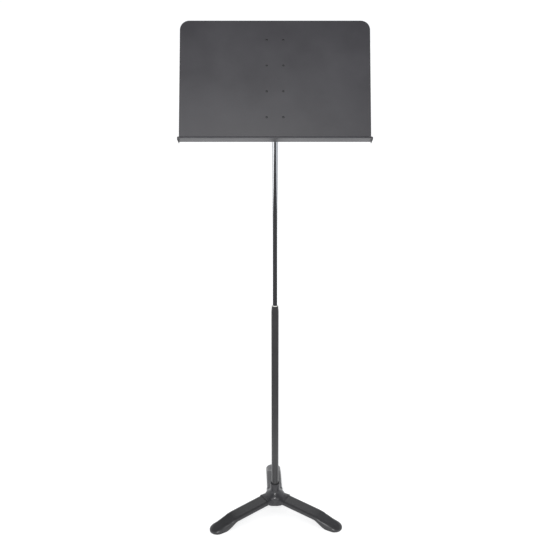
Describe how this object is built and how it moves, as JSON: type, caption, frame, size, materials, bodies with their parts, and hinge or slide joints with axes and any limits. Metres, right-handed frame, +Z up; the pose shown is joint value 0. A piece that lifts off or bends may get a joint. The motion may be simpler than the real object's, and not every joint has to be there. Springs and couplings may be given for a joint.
{
  "type": "music stand",
  "caption": "Free-standing music stand: a tilting sheet-metal desk with a tray, on a mast that slides and turns in a tube held by a hub with spreading legs.",
  "frame": {"origin": "on the floor under the middle of the mast", "axes": "+Z up along the mast, -Y towards the musician, whom the desk faces, +X to the musician's right"},
  "size_m": [0.508, 0.3708, 1.512],
  "materials": {
    "desk_black": "fine-textured satin black powder coat",
    "leg_black": "satin black enamel",
    "cast_black": "satin black enamel over cast iron",
    "tube_black": "satin black enamel",
    "chrome_plate": "polished chrome plate",
    "foot_rubber": "matt black moulded rubber",
    "zinc_steel": "zinc-plated steel",
    "spring_steel": "oiled spring steel",
    "tongue_steel": "zinc-plated pressed steel",
    "black_steel": "black oxide steel",
    "black_rivet": "blackened rivet",
    "white_nylon": "natural nylon",
    "grey_nylon": "glass-filled nylon",
    "red_fibre": "vulcanised fibre"
  },
  "bodies": {
    "base": {"base_hub": "cast_black", "leg_front_left": "leg_black", "leg_front_right": "leg_black", "leg_rear": "leg_black", "foot_pad_front_left": "foot_rubber", "foot_pad_front_right": "foot_rubber", "foot_pad_rear": "foot_rubber", "leg_screws": "zinc_steel", "outer_tube": "tube_black", "tube_foot_plug": "zinc_steel", "base_washer": "zinc_steel", "base_bolt": "zinc_steel", "guide_bush": "white_nylon"},
    "clutch": {"clutch_core": "zinc_steel", "clutch_shoes": "grey_nylon", "clutch_spring": "spring_steel", "clutch_clip": "spring_steel"},
    "mast": {"inner_tube": "chrome_plate", "mast_end_plug": "zinc_steel", "tilt_tongue": "tongue_steel"},
    "desk": {"desk_sheet": "desk_black", "desk_channel": "desk_black", "desk_rivets": "black_rivet", "tilt_bolt": "black_steel", "tilt_nut": "black_steel", "fibre_washers": "red_fibre", "spring_washers": "spring_steel"}
  },
  "joints": [
    {"name": "height_slide", "type": "slide", "parent": "base", "child": "clutch", "axis": [0, 0, 1], "range_m": [-0.559, 0]},
    {"name": "desk_swivel", "type": "hinge", "parent": "clutch", "child": "mast", "pos_m": [0, 0, 0.664], "axis": [0, 0, 1], "continuous": true},
    {"name": "desk_tilt", "type": "hinge", "parent": "mast", "child": "desk", "pos_m": [0, 0, 1.30004], "axis": [1, 0, 0], "range_deg": [-63.4, 26.6]}
  ]
}
